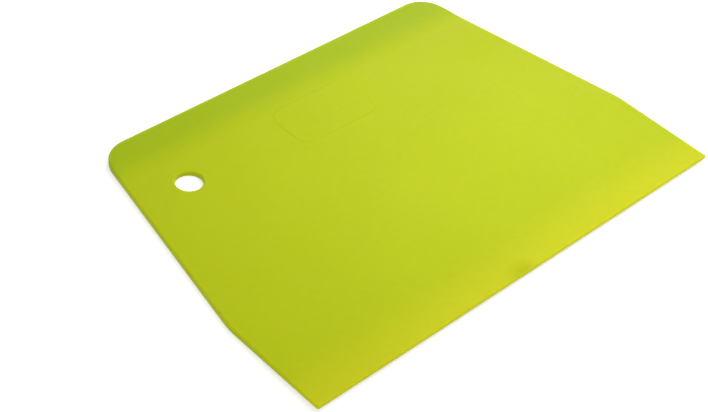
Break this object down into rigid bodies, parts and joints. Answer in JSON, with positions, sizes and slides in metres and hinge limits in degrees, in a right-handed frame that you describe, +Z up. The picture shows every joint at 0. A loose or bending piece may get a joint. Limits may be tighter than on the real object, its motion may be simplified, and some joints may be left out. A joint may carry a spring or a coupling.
{
  "type": "bowl scraper",
  "caption": "Flat trapezoidal plastic scraper card with a straight thinned working edge, rounded handle corners and a hanging hole.",
  "frame": {"origin": "under the middle of the card, on the plane of its underside", "axes": "+X along the working edge, +Y from the working edge to the handle edge, +Z up out of the top face"},
  "size_m": [0.143, 0.1, 0.0022],
  "materials": {
    "lime_plastic": "smooth satin moulded polypropylene, slightly translucent, lighter and yellower where it is thin"
  },
  "bodies": {
    "root": {"scraper_card": "lime_plastic"}
  },
  "joints": []
}
